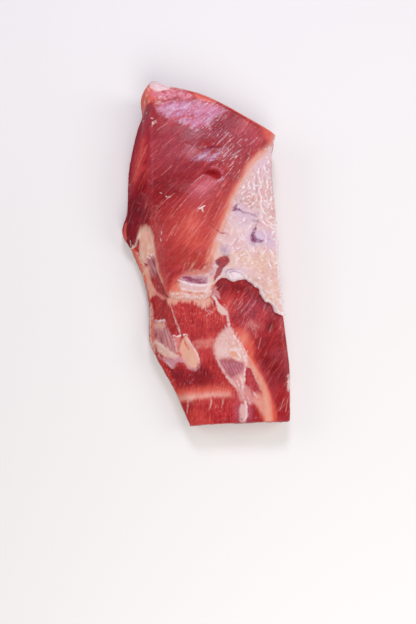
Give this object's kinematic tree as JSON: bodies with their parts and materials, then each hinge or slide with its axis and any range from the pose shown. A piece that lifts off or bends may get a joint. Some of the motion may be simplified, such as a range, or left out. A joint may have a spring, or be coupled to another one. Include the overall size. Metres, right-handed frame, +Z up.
{
  "type": "raw lamb rib rack",
  "caption": "Raw slab of lamb ribs lying outer side up: red meat with a white fat cover, a sheet of muscle over it, and rib bones set in its underside.",
  "frame": {"origin": "on the ground under the middle of the slab's bounding box", "axes": "+Y along the slab towards its thick, slanted end; +X towards the sawn long side; +Z up, out of the outer side of the meat"},
  "size_m": [0.1209, 0.2588, 0.0338],
  "materials": {
    "lean_meat": "raw lean meat, dark crimson, moist, with fine grain and pale seams",
    "fat": "raw fat, pinkish white, moist, lumpy, with a few purple stains",
    "top_lean_meat": "raw lean meat, pinkish red, wet, with long pale fibres",
    "bone": "raw rib bone under a thin membrane, ivory with a red marrow where sawn"
  },
  "bodies": {
    "root": {"rib_slab": "lean_meat", "fat_cover": "fat", "top_muscle": "top_lean_meat", "rib_1": "bone", "rib_2": "bone", "rib_3": "bone", "rib_4": "bone", "rib_5": "bone", "rib_6": "bone", "rib_7": "bone"}
  },
  "joints": []
}
